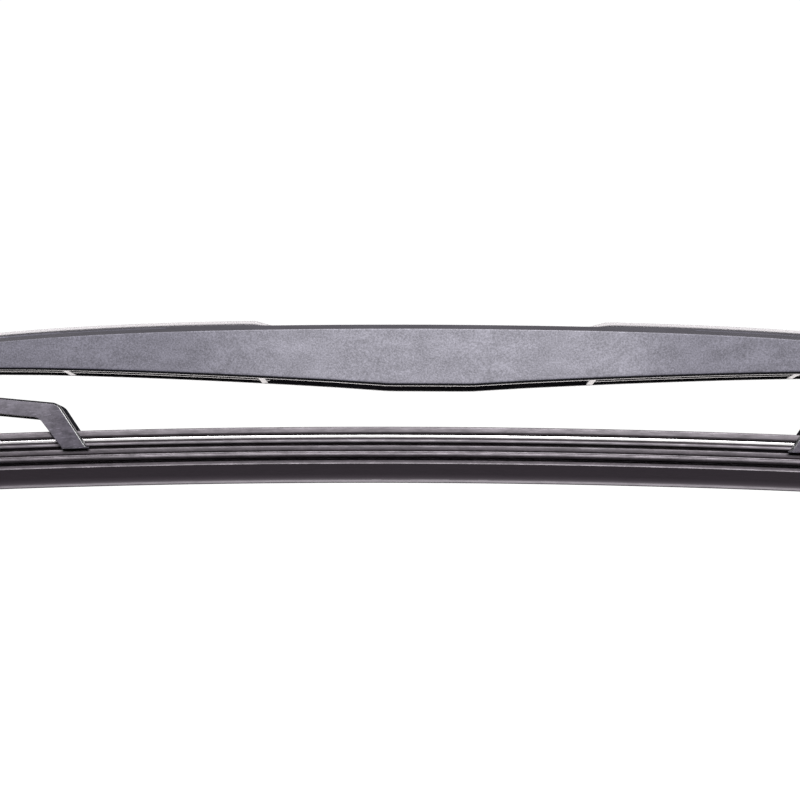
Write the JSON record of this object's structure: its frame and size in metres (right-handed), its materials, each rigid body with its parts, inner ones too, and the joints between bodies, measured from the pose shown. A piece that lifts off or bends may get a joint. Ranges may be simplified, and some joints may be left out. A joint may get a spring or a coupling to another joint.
{
  "type": "wiper blade",
  "caption": "Bridge-type windscreen wiper blade with a moulded bridge, pivoting steel yokes, a hook adaptor and a rubber element.",
  "frame": {"origin": "middle of the connector pin, on which the arm's hook adaptor turns", "axes": "+X along the blade, +Y across it, +Z away from the glass; the rubber's lip points to -Z"},
  "size_m": [0.4, 0.014, 0.0452],
  "materials": {
    "adaptor_plastic": "satin black moulding",
    "bridge_plastic": "fine spark-eroded texture, dark grey",
    "pin_steel": "ground",
    "rivet_steel": "plated",
    "yoke_paint": "satin black paint",
    "liner_plastic": "plain moulding",
    "strip_steel": "bright spring steel",
    "blade_rubber": "matt, dusted head, smooth lip"
  },
  "bodies": {
    "adaptor": {"hook_adaptor": "adaptor_plastic"},
    "bridge": {"bridge": "bridge_plastic", "connector_pin": "pin_steel", "pivot_rivet_left": "rivet_steel", "pivot_rivet_right": "rivet_steel", "rubber_element": "blade_rubber", "strip_front": "strip_steel", "strip_rear": "strip_steel"},
    "yoke_left": {"yoke_left": "yoke_paint", "pivot_liner_left": "liner_plastic"},
    "yoke_right": {"yoke_right": "yoke_paint", "pivot_liner_right": "liner_plastic"}
  },
  "joints": [
    {"name": "bridge_rock", "type": "hinge", "parent": "adaptor", "child": "bridge", "pos_m": [0, 0, 0], "axis": [0, 1, 0], "range_deg": [-15, 15]},
    {"name": "yoke_left_tilt", "type": "hinge", "parent": "bridge", "child": "yoke_left", "pos_m": [-0.137, 0, -0.011], "axis": [0, 1, 0], "range_deg": [-5, 5], "stiffness_Nm_per_rad": 1, "deforming": ["rubber_element", "strip_front", "strip_rear"]},
    {"name": "yoke_right_tilt", "type": "hinge", "parent": "bridge", "child": "yoke_right", "pos_m": [0.137, 0, -0.011], "axis": [0, 1, 0], "range_deg": [-5, 5], "stiffness_Nm_per_rad": 1, "deforming": ["rubber_element", "strip_front", "strip_rear"]}
  ]
}
